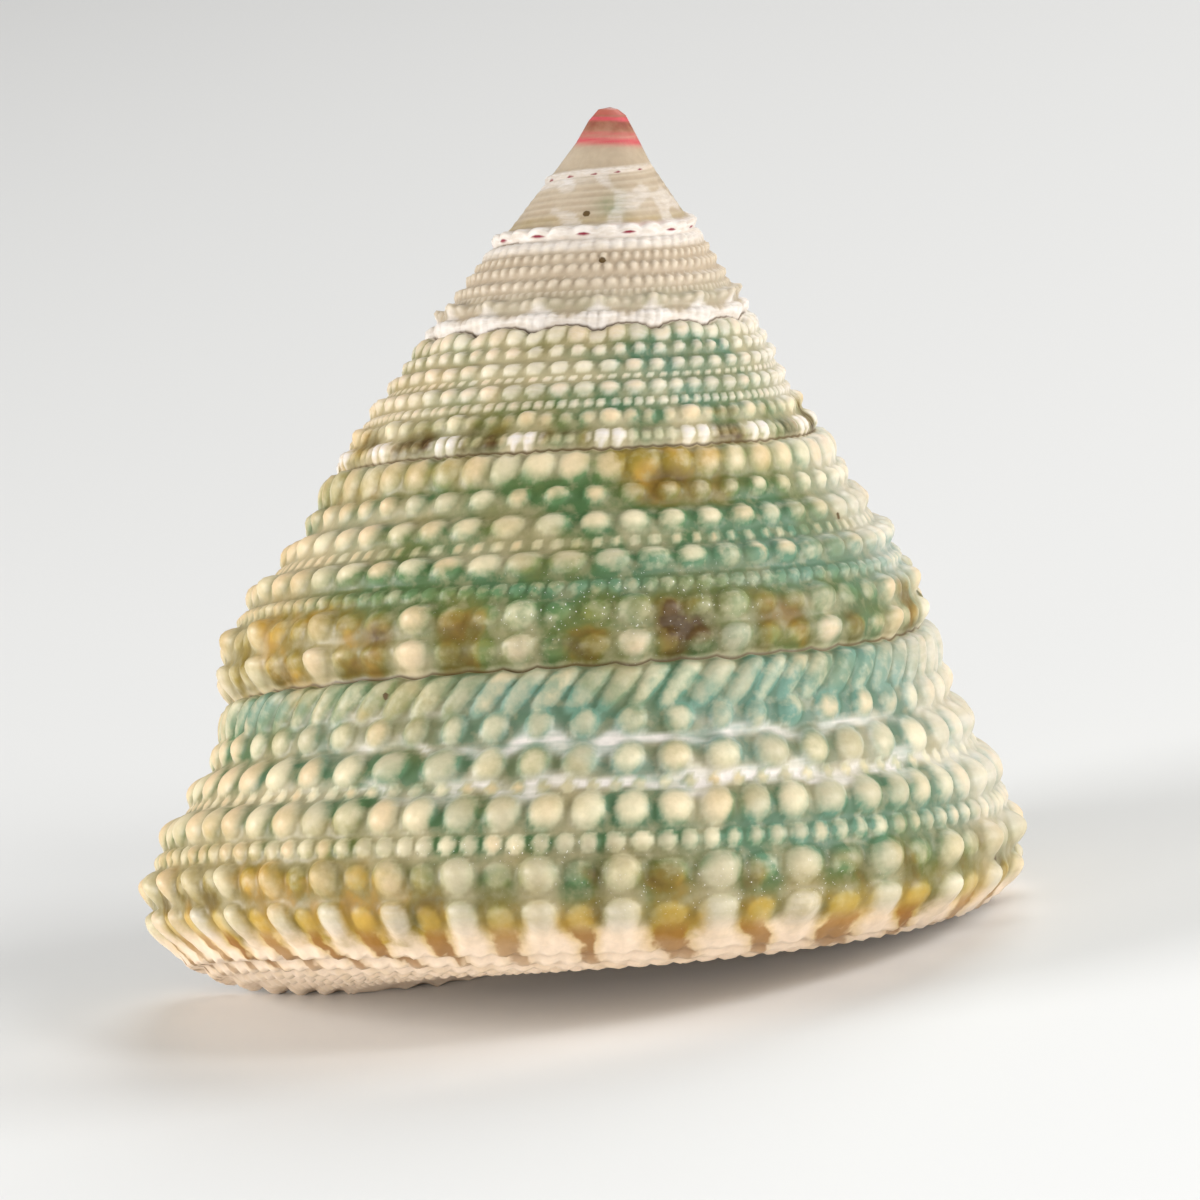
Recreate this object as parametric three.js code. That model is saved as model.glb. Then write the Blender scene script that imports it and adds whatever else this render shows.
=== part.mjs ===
// A top shell: one grown piece, a tall cone coiled to the right, hollow at the aperture under its last whorl.
// Millimetres, +Z up. The cone is modelled about its coiling axis, tip up, and then set down as it rests.
import * as THREE from 'three';

// Growth of the lower edge of the whorl: turns from the tip, depth below the tip, radius from the axis
const GROWTH = [
  [0, 0.0, 0.1],
  [1, 0.08, 0.4],
  [2, 0.35, 0.8],
  [3, 1.3, 1.35],
  [4, 2.75, 2.15],
  [5, 5.7, 4.35],
  [6, 9.6, 7.05],
  [7, 15.2, 10.75],
  [7.5, 19.2, 13.1],
  [8, 24.4, 16.3],
  [8.5, 31.0, 18.1],
  [9, 37.3, 20.6],
  [9.25, 41.2, 20.7],
  [9.6, 44.4, 20.6],
];
// Slope of each suture's plane
const SUTURE_TILT = 0.04;

// Turns at which the solid starts and the lip ends, and the tubercles in one turn
const FIRST_TURN = 2;
const LUMPS_PER_TURN = 19;
const LIP_TURN = 8 + 30 / LUMPS_PER_TURN;
// Turns closer than this are the same column
const SAME_TURN = 1e-6;

// Columns of facets in one turn, from each turn on
const COLUMNS = [
  [2, LUMPS_PER_TURN],
  [5, 1.5 * LUMPS_PER_TURN],
  [6, 2 * LUMPS_PER_TURN],
  [7, 3 * LUMPS_PER_TURN],
  [8, 4 * LUMPS_PER_TURN],
];

// How far the lower part of a whorl swells past the straight cone: turns, millimetres
const SWELL = [
  [6.5, -0.1],
  [7, -0.3],
  [7.5, 0.1],
  [8, 0.5],
  [8.5, 1.3],
  [9, 1.35],
  [9.6, 1.8],
];
// Shape of that swelling, from the suture above (0) to the lower edge (1)
const SWELL_SHAPE = [
  [0, 0],
  [0.27, 0.02],
  [0.44, 0.5],
  [0.6, 0.9],
  [0.75, 1],
  [0.88, 0.78],
  [1, 0],
];

// Spiral cords: place down the whorl, height and half width as shares of the whorl's height, lumpiness
const CORDS = [
  { at: 0.07, height: 0.036, width: 0.05, lumps: 0 },
  { at: 0.225, height: 0.03, width: 0.045, lumps: 0 },
  { at: 0.36, height: 0.03, width: 0.045, lumps: 0 },
  { at: 0.54, height: 0.038, width: 0.05, lumps: 0 },
  { at: 0.66, height: 0.014, width: 0.03, lumps: 0 },
  { at: 0.76, height: 0.05, width: 0.05, lumps: 0.6 },
  { at: 0.92, height: 0.045, width: 0.05, lumps: 0.6 },
];
const CORD_ROWS = [0.07, 0.15, 0.225, 0.295, 0.36, 0.45, 0.54, 0.61, 0.66, 0.71, 0.76, 0.84, 0.92];
const LUMPS_FROM_TURN = 5.5;
// How fast the cords rise out of the sutures
const CORD_FADE = 12;

// Base: how far it bulges below the lower edge, and its profile from the edge (1) in to the axis (0)
const BASE_BULGE = 2.1;
const BASE_SHAPE = [
  [0.03, -2],
  [0.07, -1.4],
  [0.12, -0.7],
  [0.2, -0.1],
  [0.35, 0.5],
  [0.6, 0.95],
  [0.8, 0.95],
  [0.92, 0.62],
  [1, 0],
];
// Rows of the base: share of the radius, and how many columns one facet spans
const BASE_ROWS = [
  [0.95, 1],
  [0.88, 1],
  [0.76, 1],
  [0.6, 2],
  [0.42, 2],
  [0.26, 4],
  [0.14, 4],
  [0.07, 4],
  [0.03, 4],
];

// Aperture: wall at the outer lip, at the columella and under the roof, and how far the hollow runs back
const LIP_WALL = 0.9;
const INNER_WALL = 1.5;
const COLUMELLA_WALL = 2;
const COLUMELLA_SHARE = 0.1;
const ROOF_WALL = 0.5;
const HOLLOW_TURNS = 0.62;
const HOLLOW_RINGS = 11;
const HOLLOW_END = 0.45;
// Shares of the way at which the inner wall and the wall beside the columella reach their thickness, and
// the nearest that a wall may come to the hollow's middle
const INNER_WALL_FROM = 0.5;
const COLUMELLA_REACH = 0.5;
const NEAREST_WALL = 0.2;
// How far the lip trails behind the suture, in turns, at the lower edge and at the columella
const LIP_LAG_EDGE = 0.03;
const LIP_LAG_AXIS = 0.1;
const LAG_REACH = 0.4;

// Rest: turn of the shell about X and then about Y, in degrees, and how much is worn off underneath
const REST_TILT_X = -11.5;
const REST_TILT_Y = 9.8;
const WEAR = 0.6;

// Finish
const COLOUR = 0xc9c8a4;
const ROUGHNESS = 0.45;

// A smooth curve through the rows of a table, read at x
function curve(table, x, column = 1) {
  const last = table.length - 1;
  if (x <= table[0][0]) return table[0][column];
  if (x >= table[last][0]) return table[last][column];
  let i = 0;
  while (table[i + 1][0] < x) i += 1;
  const slope = (j) => {
    const a = Math.max(j - 1, 0);
    const b = Math.min(j + 1, last);
    return (table[b][column] - table[a][column]) / (table[b][0] - table[a][0]);
  };
  const span = table[i + 1][0] - table[i][0];
  const u = (x - table[i][0]) / span;
  const u2 = u * u;
  const u3 = u2 * u;
  return (2 * u3 - 3 * u2 + 1) * table[i][column] + (u3 - 2 * u2 + u) * span * slope(i)
    + (3 * u2 - 2 * u3) * table[i + 1][column] + (u3 - u2) * span * slope(i + 1);
}

const smoothstep = (x) => THREE.MathUtils.smoothstep(x, 0, 1);

// A point at a number of turns, a radius and a depth; each suture plane leans a little
function place(turn, radius, depth) {
  const angle = -2 * Math.PI * turn;
  const lean = SUTURE_TILT * radius * Math.cos(angle);
  return new THREE.Vector3(radius * Math.cos(angle), radius * Math.sin(angle), -depth - lean);
}

// The last stretch of the whorl trails back a little towards the base
function lagged(turn, lag) {
  return turn - lag * smoothstep((turn - (LIP_TURN - LAG_REACH)) / LAG_REACH);
}

// Outer surface of the whorl: v runs from the suture above (0) to the lower edge (1)
function whorlPoint(turn, v, relief = 1) {
  const at = lagged(turn, LIP_LAG_EDGE * v * v);
  const top = [curve(GROWTH, at - 1, 2), curve(GROWTH, at - 1, 1)];
  const edge = [curve(GROWTH, at, 2), curve(GROWTH, at, 1)];
  const across = edge[0] - top[0];
  const down = edge[1] - top[1];
  const height = Math.hypot(across, down);
  const swell = curve(SWELL, at) * curve(SWELL_SHAPE, v);
  const rise = relief * height * cordHeight(turn, v);
  const radius = top[0] + across * v + swell + rise * down / height;
  const depth = top[1] + down * v - rise * across / height;
  return place(at, radius, depth);
}

// Height of the cords at a point, with lumps on the two lowest
function cordHeight(turn, v) {
  const lumpy = smoothstep(turn - LUMPS_FROM_TURN);
  const wave = 0.5 - 0.5 * Math.cos(2 * Math.PI * LUMPS_PER_TURN * turn);
  let height = 0;
  for (const cord of CORDS) {
    const bell = Math.exp(-(((v - cord.at) / cord.width) ** 2));
    height += cord.height * bell * (1 - lumpy * cord.lumps * wave);
  }
  return height * Math.min(1, CORD_FADE * v, CORD_FADE * (1 - v));
}

// Base of the last whorl: share runs from the lower edge (1) in to the axis (0)
function basePoint(turn, share) {
  const lag = LIP_LAG_EDGE + (LIP_LAG_AXIS - LIP_LAG_EDGE) * (1 - share);
  const at = lagged(turn, lag);
  const depth = curve(GROWTH, at, 1) + BASE_BULGE * curve(BASE_SHAPE, share);
  return place(at, curve(GROWTH, at, 2) * share, depth);
}

// The growing list of points and triangles of the shell
const points = [];
const triangles = [];

function addPoint(point) {
  points.push(point);
  return points.length - 1;
}

// Facets between two rows of points, each a list of [turn, index], the first row lying above
function joinRows(upper, lower) {
  let i = 0;
  let j = 0;
  while (i < upper.length - 1 || j < lower.length - 1) {
    const nextUpper = i < upper.length - 1 ? upper[i + 1][0] : Infinity;
    const nextLower = j < lower.length - 1 ? lower[j + 1][0] : Infinity;
    if (nextUpper < nextLower) {
      triangles.push(upper[i][1], upper[i + 1][1], lower[j][1]);
      i += 1;
    } else {
      triangles.push(upper[i][1], lower[j + 1][1], lower[j][1]);
      j += 1;
    }
  }
}

// Facets between two closed loops with the same number of points
function joinLoops(outer, inner) {
  outer.forEach((a, i) => {
    const j = (i + 1) % outer.length;
    triangles.push(a, inner[j], outer[j], a, inner[i], inner[j]);
  });
}

// The turns at which columns of facets stand
function columnTurns() {
  const turns = [];
  COLUMNS.forEach(([from, perTurn], band) => {
    const to = band < COLUMNS.length - 1 ? COLUMNS[band + 1][0] : LIP_TURN;
    const count = Math.round((to - from) * perTurn);
    for (let k = 0; k < count; k += 1) turns.push(from + (to - from) * k / count);
  });
  turns.push(LIP_TURN);
  return turns;
}

// Outer wall from the tip to the lip; returns its edge row, and the column of points at the lip
function addWhorls() {
  const turns = columnTurns();
  const edge = turns.map((turn) => [turn, addPoint(whorlPoint(turn, 1))]);
  const grown = edge.filter(([turn]) => turn >= FIRST_TURN + 1);
  const above = edge.filter(([turn]) => turn <= LIP_TURN - 1 + SAME_TURN).map(([turn, i]) => [turn + 1, i]);
  const rows = CORD_ROWS.map((v) => grown.map(([turn]) => [turn, addPoint(whorlPoint(turn, v))]));
  const strips = [above, ...rows, grown];
  for (let k = 0; k < strips.length - 1; k += 1) joinRows(strips[k], strips[k + 1]);
  addTip(edge.filter(([turn]) => turn <= FIRST_TURN + 1), strips);
  return { edge, lip: strips.map((row) => row[row.length - 1][1]) };
}

// Tip: a blunt cone over the first turn, closed down the step where the first whorl starts
function addTip(firstEdge, strips) {
  const tip = addPoint(new THREE.Vector3(0, 0, 0));
  const step = strips.map((row) => row[0][1]).reverse();
  const rim = [...firstEdge.map(([, i]) => i), ...step.slice(1)];
  for (let k = 0; k < rim.length - 1; k += 1) triangles.push(tip, rim[k + 1], rim[k]);
}

// Base of the last turn, from the lower edge in to the false umbilicus; returns its rows
function addBase(edge) {
  const columns = edge.filter(([turn]) => turn >= LIP_TURN - 1 - SAME_TURN);
  const rows = BASE_ROWS.map(([share, skip]) => columns
    .filter((column, i) => i % skip === 0)
    .map(([turn]) => [turn, addPoint(basePoint(turn, share))]));
  [columns, ...rows.slice(0, -1)].forEach((row, k) => joinRows(row, rows[k]));
  const pit = rows[rows.length - 1].map(([, i]) => i);
  for (let k = 1; k < pit.length - 1; k += 1) triangles.push(pit[0], pit[k], pit[k + 1]);
  return rows;
}

// Smooth section of the hollow at a turn, shrunk towards its middle by the walls
function hollowSection(turn, thickness, shrink) {
  const section = [0, ...CORD_ROWS, 1].map((v) => [whorlPoint(turn, v, 0), thickness]);
  const shares = BASE_ROWS.map(([share]) => THREE.MathUtils.lerp(COLUMELLA_SHARE, 1, share));
  const wall = (share) => THREE.MathUtils.lerp(COLUMELLA_WALL, thickness, Math.min(1, share / COLUMELLA_REACH));
  shares.forEach((share) => section.push([basePoint(turn, share), wall(share)]));
  [...shares].reverse().forEach((share) => section.push([basePoint(turn - 1, share), ROOF_WALL]));
  const middle = new THREE.Vector3();
  section.forEach(([point]) => middle.addScaledVector(point, 1 / section.length));
  return section.map(([point, inset]) => {
    const arm = point.clone().sub(middle);
    const length = arm.length();
    return middle.clone().addScaledVector(arm, shrink * Math.max(NEAREST_WALL, 1 - inset / length));
  });
}

// Aperture: the lip's face, and the hollow that runs back from it and ends blind
function addAperture(lip, baseRows) {
  const atLip = baseRows.map((row) => row[row.length - 1][1]);
  const atRoof = baseRows.map((row) => row[0][1]).reverse();
  let loop = [...lip, ...atLip, ...atRoof];
  for (let k = 0; k <= HOLLOW_RINGS; k += 1) {
    const back = k / HOLLOW_RINGS;
    const thickness = THREE.MathUtils.lerp(LIP_WALL, INNER_WALL, smoothstep(back / INNER_WALL_FROM));
    const shrink = 1 - (1 - HOLLOW_END) * back * back;
    const ring = hollowSection(LIP_TURN - HOLLOW_TURNS * back, thickness, shrink).map(addPoint);
    joinLoops(loop, ring);
    loop = ring;
  }
  const middle = new THREE.Vector3();
  loop.forEach((i) => middle.addScaledVector(points[i], 1 / loop.length));
  const end = addPoint(middle);
  loop.forEach((a, i) => triangles.push(a, end, loop[(i + 1) % loop.length]));
}

// Set the shell down as it rests: tilt it, stand it on z = 0 and wear its lowest points flat
function setDown(geometry) {
  geometry.rotateX(THREE.MathUtils.degToRad(REST_TILT_X));
  geometry.rotateY(THREE.MathUtils.degToRad(REST_TILT_Y));
  geometry.computeBoundingBox();
  const { min, max } = geometry.boundingBox;
  geometry.translate(-(min.x + max.x) / 2, -(min.y + max.y) / 2, -min.z - WEAR);
  const position = geometry.getAttribute('position');
  for (let i = 0; i < position.count; i += 1) position.setZ(i, Math.max(0, position.getZ(i)));
}

function makeShell() {
  const { edge, lip } = addWhorls();
  addAperture(lip, addBase(edge));
  const geometry = new THREE.BufferGeometry().setFromPoints(points);
  geometry.setIndex(triangles);
  setDown(geometry);
  geometry.computeVertexNormals();
  const material = new THREE.MeshStandardMaterial({ color: COLOUR, roughness: ROUGHNESS, metalness: 0 });
  const shell = new THREE.Mesh(geometry, material);
  shell.name = 'shell';
  return shell;
}

const topShell = new THREE.Group();
topShell.add(makeShell());

export default topShell;
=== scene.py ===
# A top shell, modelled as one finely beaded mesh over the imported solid, in metres.
import math

import bpy
import numpy as np
from mathutils import Matrix, Vector


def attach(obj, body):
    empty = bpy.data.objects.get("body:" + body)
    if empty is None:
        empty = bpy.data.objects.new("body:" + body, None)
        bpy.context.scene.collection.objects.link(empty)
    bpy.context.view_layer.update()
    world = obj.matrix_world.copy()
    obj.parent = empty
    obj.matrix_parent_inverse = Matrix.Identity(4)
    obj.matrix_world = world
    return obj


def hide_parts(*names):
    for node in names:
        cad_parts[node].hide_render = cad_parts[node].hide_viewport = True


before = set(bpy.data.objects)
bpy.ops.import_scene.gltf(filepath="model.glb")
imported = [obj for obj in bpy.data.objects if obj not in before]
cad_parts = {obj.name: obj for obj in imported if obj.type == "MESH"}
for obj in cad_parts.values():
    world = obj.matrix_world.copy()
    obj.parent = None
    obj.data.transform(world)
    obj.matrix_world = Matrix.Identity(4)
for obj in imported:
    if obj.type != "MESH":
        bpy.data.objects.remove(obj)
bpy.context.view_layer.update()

MM = 0.001
RANDOM = np.random.default_rng(11)

# Growth of the lower edge of the whorl: turns from the tip, depth below the tip, radius from the axis (mm)
GROWTH = np.array([
    [0, 0.0, 0.1], [1, 0.08, 0.4], [2, 0.35, 0.8], [3, 1.3, 1.35], [4, 2.75, 2.15], [5, 5.7, 4.35],
    [6, 9.6, 7.05], [7, 15.2, 10.75], [7.5, 19.2, 13.1], [8, 24.4, 16.3], [8.5, 31.0, 18.1],
    [9, 37.3, 20.6], [9.25, 41.2, 20.7], [9.6, 44.4, 20.6],
])
SUTURE_TILT = 0.04
FIRST_TURN = 1.0
LIP_TURN = 8 + 30 / 19

# How far the lower part of a whorl swells past the straight cone (turns, mm), and the swelling's shape
SWELL = np.array([
    [4, 0.0], [5.5, -0.03], [6.5, -0.1], [7, -0.3], [7.5, 0.1], [8, 0.5], [8.5, 1.3], [9, 1.35], [9.6, 1.8],
])
SWELL_SHAPE = np.array([[0, 0], [0.27, 0.02], [0.44, 0.5], [0.6, 0.9], [0.75, 1], [0.88, 0.78], [1, 0]])

# Base: its bulge below the lower edge (mm), and its profile from the axis (0) to the edge (1)
BASE_BULGE = 1.35
BASE_SHAPE = np.array([
    [0.03, -2], [0.07, -1.4], [0.12, -0.7], [0.2, -0.1], [0.35, 0.5],
    [0.6, 0.95], [0.8, 0.95], [0.92, 0.62], [1, 0],
])

# How far the lip trails behind the suture (turns), and the walls of the hollow (mm)
LIP_LAG_EDGE = 0.03
LIP_LAG_AXIS = 0.1
LAG_REACH = 0.4
LIP_WALL = 0.9
INNER_WALL = 1.5
COLUMELLA_WALL = 2
COLUMELLA_SHARE = 0.1
ROOF_WALL = 0.5
HOLLOW_TURNS = 0.62
HOLLOW_RINGS = 15
HOLLOW_END = 0.45
NARROWEST = 0.2
# The rounded face of the lip: its rings as shares of the way in, and how many rings turn pearly
LIP_RINGS = (0.3, 0.7)
PEARLY_FROM = 3

# How the shell lies: its turn about X and Y (degrees), and the wear of its lowest points (mm)
REST_TILT_X = -11.5
REST_TILT_Y = 9.8
WEAR = 0.35

# Mesh bands: from this turn on, columns in a turn and rows down the whorl
BANDS = [(1.0, 48, 1), (2.0, 72, 10), (LIP_TURN - 5, 150, 32), (LIP_TURN - 4, 350, 28),
         (LIP_TURN - 3, 340, 36), (LIP_TURN - 2, 440, 50), (LIP_TURN - 1, 550, 60)]
# Rows of the base, outside and inside a share of its radius, and how many columns of the edge each skips
BASE_ROWS_OUTER = 32
BASE_ROWS_INNER = 14
BASE_PARTED = 0.55
BASE_END = 0.03
BASE_SKIPS = (2, 4)
# A turn too small to tell from none
TINY_TURN = 1e-6

# Rows of beads on a whorl: place and half width as shares of its height, height (mm on the last whorl),
# beads in a turn at COUNT_TURNS, how much of its room a bead fills, lean in turns, and how far each
# stands on a plain cord
COUNT_TURNS = (6.25, 7.25, 8.25, 9.25)
BEAD_ROWS = [
    {"at": 0.085, "width": 0.09, "height": 0.55, "count": (48, 50, 45, 72), "fill": 1.0, "lean": 0.08,
     "cord": 0.45},
    {"at": 0.225, "width": 0.05, "height": 0.55, "count": (64, 52, 46, 52), "fill": 0.74, "lean": 0.012,
     "cord": 0.3},
    {"at": 0.36, "width": 0.056, "height": 0.66, "count": (62, 48, 45, 49), "fill": 0.84, "lean": 0.012,
     "cord": 0.36},
    {"at": 0.45, "width": 0.02, "height": 0.12, "count": (96, 92, 92, 98), "fill": 0.7, "lean": 0.0,
     "cord": 0.0},
    {"at": 0.54, "width": 0.06, "height": 0.74, "count": (62, 54, 50, 61), "fill": 0.92, "lean": 0.012,
     "cord": 0.4},
    {"at": 0.655, "width": 0.032, "height": 0.34, "count": (104, 104, 112, 108), "fill": 0.9, "lean": 0.0,
     "cord": 0.3},
]
# How much broader the beads grow on the last whorl, and where that starts
LATE_BROADER = 0.3
LATE_BEADS = (8.4, 8.8)
# How unevenly the beads stand (share of a bead, changes to a bead) and how their size spreads
UNEVEN_PLACE = 0.35
UNEVEN_PACE = 0.43
BEAD_SIZE = (0.78, 1.18)
# The share of their lean that the beads have before the last whorl
LEAN_BEFORE = 0.15
# Humps counted along the coil (turns, number), and the two rows of beads that swell at each hump:
# beads to a hump on the whorls parted at BEADS_CHANGE, and where they stand beside the hump's middle
HUMP_COUNT = np.array([
    [5, -36], [7.243, 0], [8.235, 18], [8.75, 29], [9.238, 42], [9.4, 47.5], [9.6, 55.5],
])
BEADS_CHANGE = (7.75, 8.75)
CHANGE_HALF = 0.04
HUMP_ROWS = [
    {"at": 0.768, "width": 0.076, "height": 0.62, "hump": 0.3, "beads": (4, 3, 2), "shift": (0.5, 0.5, 0.5)},
    {"at": 0.925, "width": 0.074, "height": 0.6, "hump": 0.22, "beads": (6, 3, 2), "shift": (0.0, 0.5, 0.5)},
]
HUMP_WIDTH = 0.2
# How unevenly the humps stand (humps, changes in a turn), and how uneven they are in height
HUMP_WANDER = 0.12
HUMP_PACE = 30
HUMP_STRENGTH = (0.75, 1.25)
# Beads of the hump rows, beside a hump and on it: size and how it spreads, how much of their room and of
# their row's width they fill, how pale they are, and how much of the row is a plain cord
HUMP_BEAD_SIZE = (0.55, 0.95)
HUMP_BEAD_SPREAD = 0.25
HUMP_BEAD_FILL = (0.82, 0.98)
HUMP_BEAD_WIDTH = (0.72, 1.0)
HUMP_BEAD_CREST = (0.65, 1.0)
HUMP_CORD = 0.25
# How steep the beads, those of the hump rows and the humps are, as powers of a round dome
BEAD_POWER = 0.9
HUMP_BEAD_POWER = 0.85
HUMP_POWER = 1.5
# On the young whorls the humps are mounds: how much higher and broader they are, how far they hang down,
# and the turns over which that ends
YOUNG_MOUND = 2.2
YOUNG_BROADER = 0.6
YOUNG_HANG = 3.0
MOUNDS_END = (6.5, 6.8)
# The proud cord at the foot of the first whorls: height, place and half width down the whorl, beads in a
# turn, how much of it is plain cord, and where it starts
FOOT_CORD = 1.5
FOOT_CORD_AT = 0.9
FOOT_CORD_WIDTH = 0.07
FOOT_CORD_BEADS = 26
FOOT_CORD_SOLID = 0.35
FOOT_CORD_STARTS = (3.9, 4.9)
# Where beads take over from threads (turn, and turns that the change takes)
FIRST_BEADS = 5.45
BEADS_GROW = 0.5
# Fine threads down the first whorls: number, height, where they start, and how light they are coloured
THREADS = 9
THREAD_HEIGHT = 0.1
THREADS_START = (4.2, 4.8)
THREAD_CREST = 0.5
# How far the lowest beads hang over the suture, and the groove along it
SCALLOP = 0.28
SCALLOP_BEAD = (0.5, 1.0)
HANG_COVERED = 0.75
SUTURE_GROOVE = 0.35
SUTURE_WIDTH = 0.016
SUTURE_STARTS = (4.2, 5.5)
# Where the painted shade along the covered suture starts, and where the groove at the lower edge ends (turns)
SUTURE_SHADE_STARTS = 5.4
OVERGROWN_ENDS = (LIP_TURN - 1.06, LIP_TURN - 0.98)
# Height of the whorl that the relief is given for (mm), how fast it sets in under the suture and at the
# edge, and how closely the hangs keep to the sutures above and below and to the base's edge
FULL_WHORL = 13.5
SETS_IN_TOP = 25
SETS_IN_EDGE = 40
HANG_TOP_POWER = 8
HANG_EDGE_POWER = 12
HANG_BASE_POWER = 30
# Beaded cords on the base: number, beads in a turn at the axis and more at the edge, heights of cord and
# bead, and how much narrower than its room a cord is
BASE_CORDS = 14
BASE_BEADS = (30, 70)
BASE_CORD_HEIGHT = 0.14
BASE_BEAD_HEIGHT = 0.26
BASE_CORD_NARROWER = 1.1
# How far the cords' beads are set off, and where the cords start and end (share of the base)
BASE_BEAD_OFFSET = 9
BASE_CORDS_START = (0.16, 0.3)
BASE_CORDS_END = (0.0, 0.03)

# Camera: where it looks in the shell's own frame (mm from the tip), its lean, lens and frame width
AIM = (0.146, 0.0, -24.65)
CAMERA_UP = (-0.0262, 0.0, 0.99966)
FRAME_WIDTH = 60
LENS = 600
SENSOR = 36
CLIP = (0.01, 20)


def curve(table, x, column=1):
    """A smooth curve through the rows of a table, read at every x."""
    x = np.clip(np.asarray(x, float), table[0, 0], table[-1, 0])
    knots, values = table[:, 0], table[:, column]
    ahead = np.minimum(np.arange(len(knots)) + 1, len(knots) - 1)
    behind = np.maximum(np.arange(len(knots)) - 1, 0)
    slopes = (values[ahead] - values[behind]) / (knots[ahead] - knots[behind])
    i = np.clip(np.searchsorted(knots, x, side="left") - 1, 0, len(knots) - 2)
    span = knots[i + 1] - knots[i]
    u = (x - knots[i]) / span
    return ((2 * u**3 - 3 * u**2 + 1) * values[i] + (u**3 - 2 * u**2 + u) * span * slopes[i]
            + (3 * u**2 - 2 * u**3) * values[i + 1] + (u**3 - u**2) * span * slopes[i + 1])


def smooth(x, low=0.0, high=1.0):
    """A soft step from 0 at low to 1 at high."""
    u = np.clip((np.asarray(x, float) - low) / (high - low), 0, 1)
    return u * u * (3 - 2 * u)


def between(ends, share):
    """The value at a share of the way between two ends."""
    return ends[0] + (ends[1] - ends[0]) * share


# Random numbers for uneven beads: the table, how far apart neighbours and rows are read from it, and the
# rows that aren't beads; bead tones are read TONE_ROWS after the beads' own rows
NOISE_TABLE = RANDOM.random(4096)
HASH_STEP = 7
HASH_ROW = 613
BASE_OFFSET_ROW = 41
BASE_TONE_ROW = 42
TONE_ROWS = 50
HUMP_NOISE_ROW = 61
DASH_ROW = 71
FLAME_ROW = 81
CHALK_ROW = 91


def hashed(index, row):
    """A fixed random number from 0 to 1 for each bead of a row."""
    return NOISE_TABLE[(np.asarray(index).astype(int) * HASH_STEP + row * HASH_ROW) % len(NOISE_TABLE)]


def wander(x, row):
    """Smooth noise from 0 to 1 along one number."""
    low = np.floor(x)
    return hashed(low, row) + (hashed(low + 1, row) - hashed(low, row)) * smooth(x - low)


def place(turn, radius, depth):
    """A point of the coil, whose rings lean a little from square to the axis."""
    angle = -2 * np.pi * turn
    lean = SUTURE_TILT * radius * np.cos(angle)
    return np.stack([radius * np.cos(angle), radius * np.sin(angle), -depth - lean], -1)


def lagged(turn, lag):
    """The turn, held back near the lip."""
    return turn - lag * smooth((turn - (LIP_TURN - LAG_REACH)) / LAG_REACH)


def dome(x, power=1.0):
    """A round bead's height at a distance x from its middle, in half widths."""
    return np.clip(1 - x * x, 0, 1) ** power


# Turns at which the beads are counted
COUNT_GRID = np.linspace(4, 10, 3001)


def counted(per_turn, turn):
    """Running number of beads along the coil, from the beads in a turn on the lower whorls."""
    density = np.interp(COUNT_GRID, COUNT_TURNS, per_turn)
    return np.interp(turn, COUNT_GRID, np.cumsum(density) * (COUNT_GRID[1] - COUNT_GRID[0]))


class Relief:
    """Height of the beads over a stretch of whorl, how far up a bead each point is, and each bead's tone."""

    def __init__(self, turn, v):
        self.turn, self.v = np.broadcast_arrays(turn, v)
        self.height = np.zeros(self.turn.shape)
        self.crest = np.zeros(self.turn.shape)
        self.tone = np.full(self.turn.shape, 0.5)
        for number, row in enumerate(BEAD_ROWS):
            self.plain_row(number, row)
        for number, row in enumerate(HUMP_ROWS):
            self.hump_row(number + len(BEAD_ROWS), row)

    def lay(self, rise, ball, tone):
        self.height = np.maximum(self.height, rise)
        self.tone = np.where(ball > self.crest, tone, self.tone)
        self.crest = np.maximum(self.crest, ball)

    def plain_row(self, number, row):
        last = smooth(self.turn, *LATE_BEADS)
        across = (self.v - row["at"]) / (row["width"] * (1 + LATE_BROADER * last))
        lean = row["lean"] * (LEAN_BEFORE + (1 - LEAN_BEFORE) * last)
        along = counted(row["count"], self.turn - lean * (self.v - row["at"]))
        along = along + UNEVEN_PLACE * wander(along * UNEVEN_PACE, number)
        index = np.floor(along)
        size = between(BEAD_SIZE, hashed(index, number))
        u = 2 * (along - index) - 1
        ball = dome(np.hypot(u / row["fill"], across), BEAD_POWER)
        rise = size * (row["cord"] * dome(across) + (1 - row["cord"]) * ball)
        self.lay(row["height"] * rise, ball, hashed(index, number + TONE_ROWS))

    def hump_row(self, number, row):
        across = (self.v - row["at"]) / row["width"]
        humps = hump_place(self.turn)
        off_hump = humps - np.round(humps)
        strength = between(HUMP_STRENGTH, hashed(np.round(humps), number))
        early = 1 - smooth(self.turn, *MOUNDS_END)
        swell = strength * np.exp(-((off_hump / (HUMP_WIDTH * (1 + YOUNG_BROADER * early))) ** 2))
        young = 1 + YOUNG_MOUND * early
        rise, ball = np.zeros(self.turn.shape), np.zeros(self.turn.shape)
        for beads, shift, share in zip(row["beads"], row["shift"], bead_shares(self.turn)):
            along = beads * humps + shift
            index = np.floor(along)
            middle = (index + 0.5 - shift) / beads
            big = np.exp(-(((middle - np.round(middle)) / HUMP_WIDTH) ** 2))
            size = between(HUMP_BEAD_SIZE, big) + HUMP_BEAD_SPREAD * (hashed(index, number) - 0.5)
            u = (2 * (along - index) - 1) / between(HUMP_BEAD_FILL, big)
            one = dome(np.hypot(u, across / between(HUMP_BEAD_WIDTH, big)), HUMP_BEAD_POWER)
            rise = rise + share * size * (HUMP_CORD * dome(across) + (1 - HUMP_CORD) * one)
            ball = ball + share * one * between(HUMP_BEAD_CREST, big)
        height = row["height"] * rise + row["hump"] * young * swell * dome(across, HUMP_POWER)
        self.lay(height, np.clip(ball, 0, 1), hashed(np.round(humps), number + TONE_ROWS))


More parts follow.
